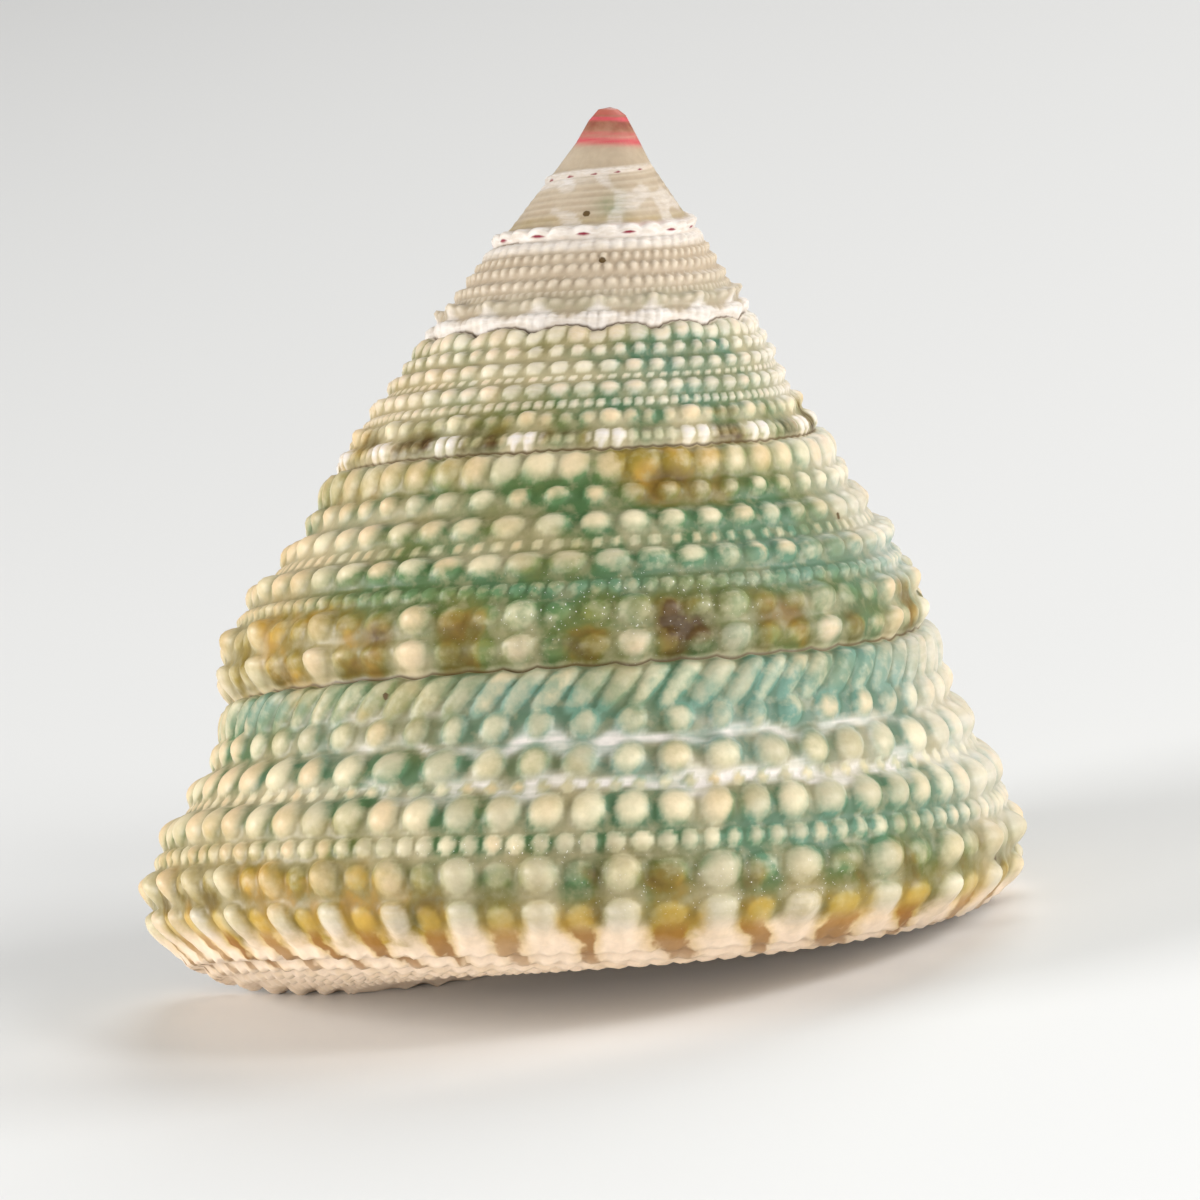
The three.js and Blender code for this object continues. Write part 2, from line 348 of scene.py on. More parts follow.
def bead_shares(turn):
    """How much each of the three bead patterns counts at a turn."""
    second, third = (smooth(turn, change - CHANGE_HALF, change + CHANGE_HALF) for change in BEADS_CHANGE)
    return 1 - second, second - third, third


def hump_place(turn):
    """Humps counted along the coil, unevenly spaced."""
    return curve(HUMP_COUNT, turn) + HUMP_WANDER * (wander(turn * HUMP_PACE, HUMP_NOISE_ROW) - 0.5)


def scallop(turn):
    """How far the lowest beads hang over the suture, in millimetres on the last whorl."""
    humps = hump_place(turn)
    hang = np.zeros(np.shape(turn))
    low_row = HUMP_ROWS[1]
    for beads, shift, share in zip(low_row["beads"], low_row["shift"], bead_shares(turn)):
        along = beads * humps + shift
        big = np.exp(-(((humps - np.round(humps)) / HUMP_WIDTH) ** 2))
        hang = hang + share * between(SCALLOP_BEAD, big) * dome(2 * (along - np.floor(along)) - 1)
        hang = hang + YOUNG_HANG * share * big * (1 - smooth(turn, *MOUNDS_END))
    return SCALLOP * hang * smooth(turn, FIRST_BEADS, FIRST_BEADS + BEADS_GROW)


def threads(turn, v):
    """Fine spiral threads that stand in for beads on the young whorls."""
    return THREAD_HEIGHT * (0.5 - 0.5 * np.cos(2 * np.pi * THREADS * v)) * smooth(turn, *THREADS_START)


def foot_cord(turn, v):
    """The proud beaded cord at the foot of the first whorls."""
    along = FOOT_CORD_BEADS * turn
    bead = dome(2 * (along - np.floor(along)) - 1)
    cord = np.exp(-(((v - FOOT_CORD_AT) / FOOT_CORD_WIDTH) ** 2))
    solid = FOOT_CORD_SOLID + (1 - FOOT_CORD_SOLID) * bead
    return FOOT_CORD * cord * solid * smooth(turn, *FOOT_CORD_STARTS)


def whorl_surface(turn, v, relief=1.0):
    """Points of the outer wall with their crest and tone; v runs from the suture (0) to the edge (1)."""
    at = lagged(turn, LIP_LAG_EDGE * v * v)
    top_r, top_d = curve(GROWTH, at - 1, 2), curve(GROWTH, at - 1, 1)
    edge_r, edge_d = curve(GROWTH, at, 2), curve(GROWTH, at, 1)
    across, down = edge_r - top_r, edge_d - top_d
    size = np.hypot(across, down)
    scale = size / FULL_WHORL
    hang_top, hang_edge = HANG_COVERED * scallop(turn - 1) * scale, scallop(turn) * scale
    swell = curve(SWELL, at) * curve(SWELL_SHAPE, v)
    relief_here = Relief(turn, v)
    beaded = smooth(turn, FIRST_BEADS, FIRST_BEADS + BEADS_GROW)
    height = beaded * relief_here.height + (1 - beaded) * threads(turn, v)
    height = height + (1 - beaded) * foot_cord(turn, v)
    fade = np.minimum(1, np.minimum(SETS_IN_TOP * v, SETS_IN_EDGE * (1 - v)))
    overgrown = 1 - smooth(turn, *OVERGROWN_ENDS)
    groove = np.exp(-((v / SUTURE_WIDTH) ** 2)) + overgrown * np.exp(-(((1 - v) / SUTURE_WIDTH) ** 2))
    groove = groove * smooth(turn, *SUTURE_STARTS)
    rise = relief * (height * fade - SUTURE_GROOVE * groove) * scale
    hang = hang_top * (1 - v) ** HANG_TOP_POWER + hang_edge * v**HANG_EDGE_POWER
    points = place(at, top_r + across * v + swell + rise * down / size,
                   top_d + down * v - rise * across / size + hang)
    thread = (1 - beaded) * threads(turn, v) / THREAD_HEIGHT
    return points, relief_here.crest * fade * beaded + THREAD_CREST * thread, relief_here.tone


def base_surface(turn, share, relief=1.0):
    """Points of the base with their crest and tone; share runs from the axis (0) to the lower edge (1)."""
    at = lagged(turn, LIP_LAG_EDGE + (LIP_LAG_AXIS - LIP_LAG_EDGE) * (1 - share))
    cord = (1 - share) * (BASE_CORDS + 1)
    index = np.floor(cord)
    u = 2 * (cord - index) - 1
    beads = BASE_BEADS[0] + BASE_BEADS[1] * share
    along = beads * turn + BASE_BEAD_OFFSET * hashed(index, BASE_OFFSET_ROW)
    bead = dome(2 * (along - np.floor(along)) - 1)
    corded = smooth(share, *BASE_CORDS_START) * smooth(1 - share, *BASE_CORDS_END)
    corded = corded * dome(u * BASE_CORD_NARROWER)
    rise = relief * corded * (BASE_CORD_HEIGHT + BASE_BEAD_HEIGHT * bead)
    hang = scallop(turn) * share**HANG_BASE_POWER
    depth = curve(GROWTH, at, 1) + BASE_BULGE * curve(BASE_SHAPE, share) + rise + hang
    return place(at, curve(GROWTH, at, 2) * share, depth), corded * bead, hashed(index, BASE_TONE_ROW)


class Surface:
    """The growing lists of points, triangles and what each point knows about its place."""

    def __init__(self):
        self.points, self.marks, self.triangles = [], [], []
        self.count = 0

    def add(self, points, turn, down, crest=0.0, tone=0.5, suture=0.0, inside=0.0):
        """Add points; down is 0 to 1 on the whorl and 1 to 2 on the base."""
        points = np.asarray(points, float)
        flat = points.reshape(-1, 3)
        known = (turn, down, crest, tone, suture, inside)
        marks = [np.broadcast_to(mark, points.shape[:-1]).ravel() for mark in known]
        self.points.append(flat)
        self.marks.append(np.stack(marks, -1))
        ids = np.arange(self.count, self.count + len(flat)).reshape(points.shape[:-1])
        self.count += len(flat)
        return ids

    def quads(self, a, b, c, d):
        """Two triangles for each set of four corners, in order round the face."""
        self.triangles.append(np.stack([a, b, c], -1).reshape(-1, 3))
        self.triangles.append(np.stack([a, c, d], -1).reshape(-1, 3))

    def zip(self, upper, upper_at, lower, lower_at):
        """Triangles between two rows with different spacing, each with its place along the row."""
        i = j = 0
        found = []
        while i < len(upper) - 1 or j < len(lower) - 1:
            next_upper = upper_at[i + 1] if i < len(upper) - 1 else math.inf
            next_lower = lower_at[j + 1] if j < len(lower) - 1 else math.inf
            if next_upper < next_lower:
                found.append((upper[i], upper[i + 1], lower[j]))
                i += 1
            else:
                found.append((upper[i], lower[j + 1], lower[j]))
                j += 1
        self.triangles.append(np.array(found))


def add_whorls(surface):
    """Outer wall from the tip to the lip; returns the lower edge's points and turns, and the lip's column."""
    edge_ids, edge_at, first_ids, first_at = [], [], [], []
    step, last_column = None, None
    for number, (start, per_turn, rows) in enumerate(BANDS):
        stop = BANDS[number + 1][0] if number < len(BANDS) - 1 else LIP_TURN
        turns = np.linspace(start, stop, round((stop - start) * per_turn) + 1)
        if number < len(BANDS) - 1:
            turns = turns[:-1]
        v = np.arange(1, rows + 1) / rows
        points, crest, tone = whorl_surface(turns[:, None], v[None, :])
        # points of the lower edge that the next whorl covers carry the painted shade of the suture's crease
        covered = (v[None, :] == 1) & (turns[:, None] <= LIP_TURN - 1) & (turns[:, None] > SUTURE_SHADE_STARTS)
        ids = surface.add(points, turns[:, None], v[None, :], crest, tone, covered)
        edge_ids.extend(ids[:, -1])
        edge_at.extend(turns)
        if rows > 1:
            surface.quads(ids[:-1, :-1], ids[1:, :-1], ids[1:, 1:], ids[:-1, 1:])
            first_ids.extend(ids[:, 0])
            first_at.extend(turns)
            if last_column is None:
                step = ids[0]
            else:
                surface.zip(ids[0], v, last_column[0], last_column[1])
            last_column = (ids[-1], v)
    edge_ids, edge_at = np.array(edge_ids), np.array(edge_at)
    above = edge_at <= LIP_TURN - 1 + TINY_TURN
    surface.zip(edge_ids[above], edge_at[above] + 1, first_ids, first_at)
    add_tip(surface, edge_ids[edge_at <= FIRST_TURN + 1 + TINY_TURN], step)
    lip = [edge_ids[above][-1], *last_column[0]]
    return edge_ids, edge_at, lip


def add_tip(surface, first_edge, step):
    """The blunt cone over the first turn, closed down the step where the first whorl starts."""
    tip = surface.add(np.zeros((1, 3)), FIRST_TURN, 0.0)[0]
    rim = np.array([*first_edge, *step[::-1][1:], first_edge[0]])
    surface.triangles.append(np.stack([np.full(len(rim) - 1, tip), rim[1:], rim[:-1]], -1))


def add_base(surface, edge_ids, edge_at):
    """Base of the last turn, from the lower edge in to the false umbilicus; returns its two end columns."""
    keep = edge_at >= LIP_TURN - 1 - TINY_TURN
    ids, at = edge_ids[keep], edge_at[keep]
    shares = np.concatenate([np.linspace(1, BASE_PARTED, BASE_ROWS_OUTER + 1)[1:],
                             np.linspace(BASE_PARTED, BASE_END, BASE_ROWS_INNER + 1)[1:]])
    starts, ends = [], []
    for number, share in enumerate(shares):
        skip = BASE_SKIPS[number >= BASE_ROWS_OUTER]
        turns = edge_at[keep][::skip]
        points, crest, tone = base_surface(turns, np.full(turns.shape, share))
        row = surface.add(points, turns, 2 - share, crest, tone)
        surface.zip(ids, at, row, turns)
        ids, at = row, turns
        starts.append(row[0])
        ends.append(row[-1])
    surface.triangles.append(np.stack([np.full(len(ids) - 2, ids[0]), ids[1:-1], ids[2:]], -1))
    return starts, ends, shares


def hollow_section(turn, rows, shares, thickness, shrink):
    """Smooth section of the hollow at a turn, shrunk towards its middle by the walls."""
    v = np.concatenate([[0], np.arange(1, rows + 1) / rows])
    outer = whorl_surface(np.full(v.shape, turn), v, relief=0)[0]
    inner_shares = COLUMELLA_SHARE + (1 - COLUMELLA_SHARE) * shares
    floor = base_surface(np.full(shares.shape, turn), inner_shares, relief=0)[0]
    roof = base_surface(np.full(shares.shape, turn - 1), inner_shares[::-1], relief=0)[0]
    wall = COLUMELLA_WALL + (thickness - COLUMELLA_WALL) * np.minimum(1, inner_shares * 2)
    inset = np.concatenate([np.full(len(v), thickness), wall, np.full(len(shares), ROOF_WALL)])
    section = np.concatenate([outer, floor, roof])
    middle = section.mean(0)
    arm = section - middle
    length = np.linalg.norm(arm, axis=1)
    return middle + arm * (shrink * np.maximum(NARROWEST, 1 - inset / length))[:, None]


def add_aperture(surface, lip, base_columns):
    """The rounded face of the lip, and the hollow that runs back from it and ends blind."""
    starts, ends, shares = base_columns
    loop = np.array([*lip, *ends, *starts[::-1]])
    rows = len(lip) - 1
    outer = np.concatenate(surface.points)[loop]
    rim = hollow_section(LIP_TURN, rows, shares, LIP_WALL, 1)
    rings = [outer + (rim - outer) * f for f in LIP_RINGS]
    for back in np.linspace(0, 1, HOLLOW_RINGS + 1):
        thickness = LIP_WALL + (INNER_WALL - LIP_WALL) * smooth(2 * back)
        shrink = 1 - (1 - HOLLOW_END) * back * back
        rings.append(hollow_section(LIP_TURN - HOLLOW_TURNS * back, rows, shares, thickness, shrink))
    for number, ring in enumerate(rings):
        ids = surface.add(ring, LIP_TURN, 1.0, inside=smooth(number, 0, PEARLY_FROM))
        surface.quads(loop, ids, np.roll(ids, -1), np.roll(loop, -1))
        loop = ids
    end = surface.add(rings[-1].mean(0)[None], LIP_TURN, 1.0, inside=1.0)[0]
    surface.triangles.append(np.stack([loop, np.full(len(loop), end), np.roll(loop, -1)], -1))


# The turn from the shell's own frame to the way it lies
ABOUT_X = Matrix.Rotation(math.radians(REST_TILT_X), 3, "X")
ABOUT_Y = Matrix.Rotation(math.radians(REST_TILT_Y), 3, "Y")
TO_REST = ABOUT_Y @ ABOUT_X


def link_new(name, data):
    """A new object in the scene."""
    thing = bpy.data.objects.new(name, data)
    bpy.context.scene.collection.objects.link(thing)
    return thing


def make_mesh(points, faces):
    """A smooth mesh from an array of points and one of triangles."""
    mesh = bpy.data.meshes.new("shell_surface")
    mesh.vertices.add(len(points))
    mesh.vertices.foreach_set("co", points.ravel())
    mesh.loops.add(faces.size)
    mesh.loops.foreach_set("vertex_index", faces.ravel().astype(np.int32))
    mesh.polygons.add(len(faces))
    mesh.polygons.foreach_set("loop_start", np.arange(0, faces.size, 3, dtype=np.int32))
    mesh.update(calc_edges=True)
    mesh.validate()
    mesh.polygons.foreach_set("use_smooth", np.ones(len(faces), bool))
    return mesh


def make_shell():
    """Build the whole surface and set it down; returns the object and where the tip came to lie."""
    surface = Surface()
    edge_ids, edge_at, lip = add_whorls(surface)
    add_aperture(surface, lip, add_base(surface, edge_ids, edge_at))
    grown = np.concatenate(surface.points)
    points = grown @ np.array(TO_REST).T * MM
    low, high = points.min(0), points.max(0)
    shift = np.array([-(low[0] + high[0]) / 2, -(low[1] + high[1]) / 2, -low[2] - WEAR * MM])
    points = points + shift
    points[:, 2] = np.maximum(points[:, 2], 0)
    mesh = make_mesh(points, np.concatenate(surface.triangles))
    turn, down, crest, tone, suture, inside = np.concatenate(surface.marks).T
    layers = {"turn": turn, "down": down, "crest": crest, "tone": tone, "suture": suture, "inside": inside}
    layers.update(pigments(grown, turn, down, crest, tone))
    for name, values in layers.items():
        layer = mesh.attributes.new(name, "FLOAT", "POINT")
        layer.data.foreach_set("value", values.astype(np.float32))
    return link_new("top_shell", mesh), Vector(shift)


def add_camera(tip):
    """A long lens, level with the middle of the shell and square to its axis, as in the photograph."""
    aim = TO_REST @ Vector(AIM) * MM + tip
    distance = FRAME_WIDTH * MM * LENS / SENSOR
    forward = TO_REST @ Vector((0, 1, 0))
    up = TO_REST @ Vector(CAMERA_UP)
    right = forward.cross(up).normalized()
    up = right.cross(forward)
    data = bpy.data.cameras.new("camera")
    data.lens = LENS
    data.sensor_width = SENSOR
    data.clip_start, data.clip_end = CLIP
    camera = link_new("camera", data)
    turn = Matrix((right, up, -forward)).transposed().to_4x4()
    camera.matrix_world = Matrix.Translation(aim - forward * distance) @ turn
    bpy.context.scene.camera = camera
    return aim


# Stage: the floor's half width (m) and colour, the world's light, and the lamps by their name, direction
# from the shell, distance and size (m) and power (W)
FLOOR_HALF = 3.0
FLOOR_COLOUR = (0.7, 0.7, 0.69, 1)
FLOOR_ROUGHNESS = 0.7
WORLD_COLOUR = (1.0, 0.99, 0.97, 1)
WORLD_STRENGTH = 0.17
LAMPS = [
    ("key", (0.8, -0.9, 0.85), 0.4, 0.1, 0.52),
    ("left", (-1.0, -0.1, 0.3), 0.4, 0.2, 1.85),
    ("right", (1.0, -0.15, 0.3), 0.4, 0.2, 1.35),
    ("low_left", (-0.55, -0.85, 0.05), 0.3, 0.08, 0.32),
    ("low_right", (0.6, -0.8, 0.05), 0.3, 0.08, 0.28),
    ("rim", (0.3, 0.9, 0.8), 0.45, 0.25, 0.9),
]


def add_area(name, aim, direction, distance, size, power):
    """A soft square light that looks at the shell from a direction."""
    data = bpy.data.lights.new(name, "AREA")
    data.shape = "SQUARE"
    data.size = size
    data.energy = power
    light = link_new(name, data)
    away = Vector(direction).normalized()
    light.location = aim + away * distance
    light.rotation_euler = away.to_track_quat("Z", "Y").to_euler()


def add_floor():
    """A large pale floor under the shell."""
    far = FLOOR_HALF
    corners = [(-far, -far, 0), (far, -far, 0), (far, far, 0), (-far, far, 0)]
    mesh = bpy.data.meshes.new("floor")
    mesh.from_pydata(corners, [], [(0, 1, 2, 3)])
    floor = link_new("floor", mesh)
    material = bpy.data.materials.new("pale_floor")
    material.use_nodes = True
    shader = material.node_tree.nodes["Principled BSDF"]
    shader.inputs["Base Color"].default_value = FLOOR_COLOUR
    shader.inputs["Roughness"].default_value = FLOOR_ROUGHNESS
    mesh.materials.append(material)


def add_stage(aim):
    """Pale floor, soft lights and a pale world."""
    add_floor()
    for name, direction, distance, size, power in LAMPS:
        add_area(name, aim, direction, distance, size, power)
    world = bpy.data.worlds.new("studio")
    world.use_nodes = True
    world.node_tree.nodes["Background"].inputs["Color"].default_value = WORLD_COLOUR
    world.node_tree.nodes["Background"].inputs["Strength"].default_value = WORLD_STRENGTH
    bpy.context.scene.world = world
    bpy.context.scene.view_settings.view_transform = "Standard"


# Colours of the shell, as the surface reflects them
CREAM = (0.68, 0.59, 0.4)
PEACH = (0.66, 0.49, 0.3)
SAGE = (0.46, 0.4, 0.27)
GROUND = (0.5, 0.44, 0.29)
YOUNG_BEAD = (0.52, 0.44, 0.335)
YOUNG_GROUND = (0.38, 0.3, 0.21)
WHITE = (0.62, 0.57, 0.52)
GREEN = (0.075, 0.16, 0.06)
TEAL = (0.125, 0.23, 0.175)
OCHRE = (0.25, 0.18, 0.03)
ORANGE = (0.42, 0.25, 0.045)
BROWN = (0.08, 0.045, 0.012)
GOLD = (0.52, 0.33, 0.06)
EMBER = (0.25, 0.1, 0.015)
ROSE = (0.48, 0.08, 0.09)
CRIMSON = (0.2, 0.012, 0.03)
BASE_PINK = (0.86, 0.68, 0.51)
# painted shade: the colour that the valleys between the beads are multiplied by, darkening them where shade
# falls
PAINTED_GROOVE_SHADE = (0.68, 0.65, 0.57)
PEARL = (0.78, 0.76, 0.72)


class Nodes:
    """Short calls for building a shader from maths, noise and mixes."""

    def __init__(self, material):
        self.tree = material.node_tree

    def new(self, kind, **settings):
        node = self.tree.nodes.new(kind)
        for name, value in settings.items():
            setattr(node, name, value)
        return node

    def plug(self, value, socket):
        if isinstance(value, bpy.types.NodeSocket):
            self.tree.links.new(value, socket)
        else:
            socket.default_value = (*value, 1) if isinstance(value, tuple) and len(value) == 3 else value

    def attribute(self, name):
        return self.new("ShaderNodeAttribute", attribute_name=name).outputs["Fac"]

    def math(self, operation, a, b, clamp=False):
        node = self.new("ShaderNodeMath", operation=operation, use_clamp=clamp)
        self.plug(a, node.inputs[0])
        self.plug(b, node.inputs[1])
        return node.outputs[0]

    def ramp(self, name, value):
        node = self.new("ShaderNodeMapRange", interpolation_type="SMOOTHSTEP")
        for index, number in enumerate((value, *RAMPS[name])):
            self.plug(number, node.inputs[index])
        return node.outputs[0]

    def noise(self, scale, detail, vector=None):
        node = self.new("ShaderNodeTexNoise")
        node.inputs["Scale"].default_value = scale
        node.inputs["Detail"].default_value = detail
        node.inputs["Roughness"].default_value = NOISE_ROUGHNESS
        if vector is None:
            vector = self.new("ShaderNodeTexCoord").outputs["Object"]
        self.tree.links.new(vector, node.inputs["Vector"])
        return node.outputs["Fac"]

    def mix(self, factor, a, b, blend="MIX"):
        node = self.new("ShaderNodeMix", data_type="RGBA", blend_type=blend, clamp_factor=True)
        self.plug(factor, node.inputs["Factor"])
        self.plug(a, node.inputs["A"])
        self.plug(b, node.inputs["B"])
        return node.outputs["Result"]

    def combine(self, x, y, z):
        node = self.new("ShaderNodeCombineXYZ")
        for socket, value in zip(node.inputs, (x, y, z)):
            self.plug(value, socket)
        return node.outputs[0]


# Grains of noise: how many to a metre, and detail
FINE_GRAIN = (3200, 4)
SMALL_GRAIN = (1100, 3)
BROAD_GRAIN = (300, 3)
# painted glints: the grain of the fine bright specks that stand in for tiny highlights
PAINTED_GLINT_GRAIN = (7500, 1)
# Noise that is drawn out across or along the whorl: how many to a turn and down a whorl, and detail
STREAKS = (300, 6, 3)
SPIRALS = (40, 28, 2)
# Soft ramps: from and to in what they read, and what they give there
RAMPS = {
    "peach": (0.4, 0.8, 0.0, 0.9), "sage": (0.1, 0.4, 0.8, 0.0), "ground": (0.4, 0.7, 0.0, 0.4),
    "bead": (0.0, 0.9, 0.0, 1.0), "orange": (0.48, 0.68, 0.0, 1.0), "stain": (0.3, 0.7, 0.6, 1.2),
    "rose": (0.2, 0.5, 0.6, 1.2), "dash": (0.5, 0.75, 0.0, 1.0), "glow": (0.5, 1.2, 0.0, 1.0),
    # the groove ramp sets how far up a bead the painted valley shade reaches
    "ember": (1.0, 1.18, 0.0, 1.0), "groove": (0.0, 0.4, 1.0, 0.0), "freckle": (0.3, 0.7, 0.96, 1.04),
    "suture": (0.5, 0.95, 0.0, 0.8), "speck": (0.16, 0.23, 0.95, 0.0), "spark": (0.7, 0.74, 0.0, 0.9),
    "roughness": (0.3, 0.7, 0.36, 0.5),
}
# Roughness of all noise, and how far a grain breaks up the flames
NOISE_ROUGHNESS = 0.55
BLAZE_GRAIN = 0.55
# Gloss, glow beneath the surface, and the bump of the finest grain (m)
SPECULAR = 0.22
SUBSURFACE = 0.08
SUBSURFACE_RADIUS = (0.9, 0.7, 0.5)
SUBSURFACE_SCALE = 0.0006
BUMP_STRENGTH = 0.12
BUMP_DISTANCE = 0.00006
STREAK_BUMP = 0.6


def stretched_noise(n, in_turn, in_whorl, detail):
    """Noise that follows the coil."""
    along = n.math("MULTIPLY", n.attribute("turn"), in_turn)
    across = n.math("MULTIPLY", n.attribute("down"), in_whorl)
    return n.noise(1.0, detail, vector=n.combine(along, across, 0.0))


def bead_and_ground(n, broad):
    """Cream, peach and sage beads over their ground, the young whorls and the base in their own colours."""
    tone, late = n.attribute("tone"), n.attribute("late")
    bead = n.mix(n.ramp("peach", tone), CREAM, PEACH)
    bead = n.mix(n.ramp("sage", tone), bead, SAGE)
    bead = n.mix(late, YOUNG_BEAD, bead)
    ground = n.mix(late, YOUNG_GROUND, GROUND)
    ground = n.mix(n.ramp("ground", broad), ground, bead)
    colour = n.mix(n.ramp("bead", n.attribute("crest")), ground, bead)
    return n.mix(n.attribute("pale"), colour, BASE_PINK)


def stain(n, colour, name, tint, grain, ramp="stain"):
    """A pigment laid over a colour, as thick as its attribute says and broken up by a grain."""
    amount = n.math("MULTIPLY", n.attribute(name), n.ramp(ramp, grain), clamp=True)
    return n.mix(amount, colour, tint)


def stain_all(n, colour, small, broad, streak):
    """Green or teal, ochre or orange, brown, rose and chalk over the beads."""
    spiral = stretched_noise(n, *SPIRALS)
    colour = stain(n, colour, "green", n.mix(n.attribute("teal"), GREEN, TEAL), small)
    colour = stain(n, colour, "ochre", n.mix(n.ramp("orange", broad), OCHRE, ORANGE), small)
    colour = stain(n, colour, "brown", BROWN, small)
    colour = stain(n, colour, "rose", ROSE, streak, "rose")
    return stain(n, colour, "chalk", WHITE, spiral)


def mark_all(n, colour, small):
    """Crimson dashes on the young sutures, and the gold flames of the edge with their brown cores."""
    colour = n.mix(n.ramp("dash", n.attribute("dash")), colour, CRIMSON)
    blaze = n.math("ADD", n.attribute("blaze"), n.math("MULTIPLY", small, BLAZE_GRAIN))
    glow = n.math("MULTIPLY", n.ramp("glow", blaze), n.attribute("glow"))
    colour = n.mix(glow, colour, GOLD)
    ember = n.math("MULTIPLY", n.ramp("ember", blaze), n.attribute("ember"))
    return n.mix(ember, colour, EMBER)


def paint_shade_glints_and_marks(n, colour, fine):
    """Painted shade in the valleys and along the sutures, freckles, dark specks, painted glints, and the
    pearly hollow.
    """
    # painted shade: the valleys between the beads of the later whorls are darkened, as strongly as the shade
    # attribute says
    groove = n.math("MULTIPLY", n.ramp("groove", n.attribute("crest")), n.attribute("late"))
    colour = n.mix(n.math("MULTIPLY", groove, n.attribute("shade")), colour, PAINTED_GROOVE_SHADE, "MULTIPLY")
    freckle = n.ramp("freckle", fine)
    colour = n.mix(1.0, colour, n.combine(freckle, freckle, freckle), "MULTIPLY")
    # painted shade: a dark line in the crease of each covered suture, together with the real dark specks
    suture = n.ramp("suture", n.attribute("suture"))
    speck = n.ramp("speck", n.attribute("speck"))
    colour = n.mix(n.math("MAXIMUM", suture, speck), colour, BROWN)
    # painted glints: fine bright specks in a few patches, in the pearly colour
    spark = n.ramp("spark", n.noise(*PAINTED_GLINT_GRAIN))
    colour = n.mix(n.math("MULTIPLY", spark, n.attribute("grains"), clamp=True), colour, PEARL)
    return n.mix(n.attribute("inside"), colour, PEARL)


def shell_material():
    """Cream beads over green and ochre grounds, chalky lines, rose tip, gold flames, pearly hollow."""
    material = bpy.data.materials.new("shell_mottled")
    material.use_nodes = True
    n = Nodes(material)
    fine, small, broad = n.noise(*FINE_GRAIN), n.noise(*SMALL_GRAIN), n.noise(*BROAD_GRAIN)
    streak = stretched_noise(n, *STREAKS)
    colour = stain_all(n, bead_and_ground(n, broad), small, broad, streak)
    colour = paint_shade_glints_and_marks(n, mark_all(n, colour, small), fine)
    shader = material.node_tree.nodes["Principled BSDF"]
    n.plug(colour, shader.inputs["Base Color"])
    n.plug(n.ramp("roughness", small), shader.inputs["Roughness"])
    shader.inputs["Specular IOR Level"].default_value = SPECULAR
    shader.inputs["Subsurface Weight"].default_value = SUBSURFACE
    shader.inputs["Subsurface Radius"].default_value = SUBSURFACE_RADIUS
    shader.inputs["Subsurface Scale"].default_value = SUBSURFACE_SCALE
    bump = n.new("ShaderNodeBump")
    bump.inputs["Strength"].default_value = BUMP_STRENGTH
    bump.inputs["Distance"].default_value = BUMP_DISTANCE
    n.plug(n.math("ADD", n.math("MULTIPLY", streak, STREAK_BUMP), fine), bump.inputs["Height"])
    n.plug(bump.outputs["Normal"], shader.inputs["Normal"])
    return material


# Patches of pigment: turns, share down the whorl, half widths in both, strength
GREEN_PATCHES = [
    (7.17, 0.2, 0.05, 0.2, 1.5), (7.2, 0.45, 0.06, 0.22, 0.6), (7.25, 0.7, 0.1, 0.13, 0.7),
    (7.12, 0.62, 0.06, 0.25, 0.6), (7.36, 0.72, 0.07, 0.1, 0.35), (7.1, 0.95, 0.05, 0.06, 0.5),
    (7.29, 0.12, 0.02, 0.06, 0.35), (8.16, 0.25, 0.09, 0.2, 0.7), (8.26, 0.2, 0.05, 0.1, 0.8),
    (8.13, 0.5, 0.09, 0.15, 0.7), (8.2, 0.65, 0.2, 0.085, 2.0), (8.33, 0.66, 0.1, 0.05, 1.0),
    (8.14, 0.84, 0.1, 0.18, 1.0), (8.27, 0.86, 0.07, 0.16, 1.0), (8.35, 0.35, 0.13, 0.28, 0.2),
    (8.06, 0.66, 0.05, 0.08, 0.5), (8.2, 0.78, 0.09, 0.12, 0.9), (9.1, 0.1, 0.06, 0.12, 1.3),
    (9.18, 0.2, 0.07, 0.15, 0.95), (9.29, 0.1, 0.05, 0.1, 0.6), (9.43, 0.1, 0.03, 0.1, 0.6),
    (9.39, 0.12, 0.07, 0.14, 0.6), (9.12, 0.6, 0.08, 0.14, 0.5),
    (9.17, 0.67, 0.07, 0.06, 0.7), (9.11, 0.8, 0.05, 0.12, 0.5), (9.22, 0.77, 0.06, 0.06, 0.6),
    (9.25, 0.3, 0.1, 0.12, 0.6), (9.33, 0.4, 0.09, 0.2, 0.3), (9.36, 0.78, 0.06, 0.05, 0.4),
]
TEAL_PATCHES = [
    (7.17, 0.4, 0.08, 0.4, 0.7), (8.12, 0.5, 0.08, 0.2, 0.7), (8.2, 0.64, 0.12, 0.06, 0.5),
    (9.1, 0.1, 0.08, 0.2, 1.0), (9.2, 0.3, 0.12, 0.3, 0.8), (9.3, 0.1, 0.05, 0.12, 0.8),
    (9.43, 0.1, 0.04, 0.1, 1.0), (9.13, 0.65, 0.08, 0.1, 0.6),
]
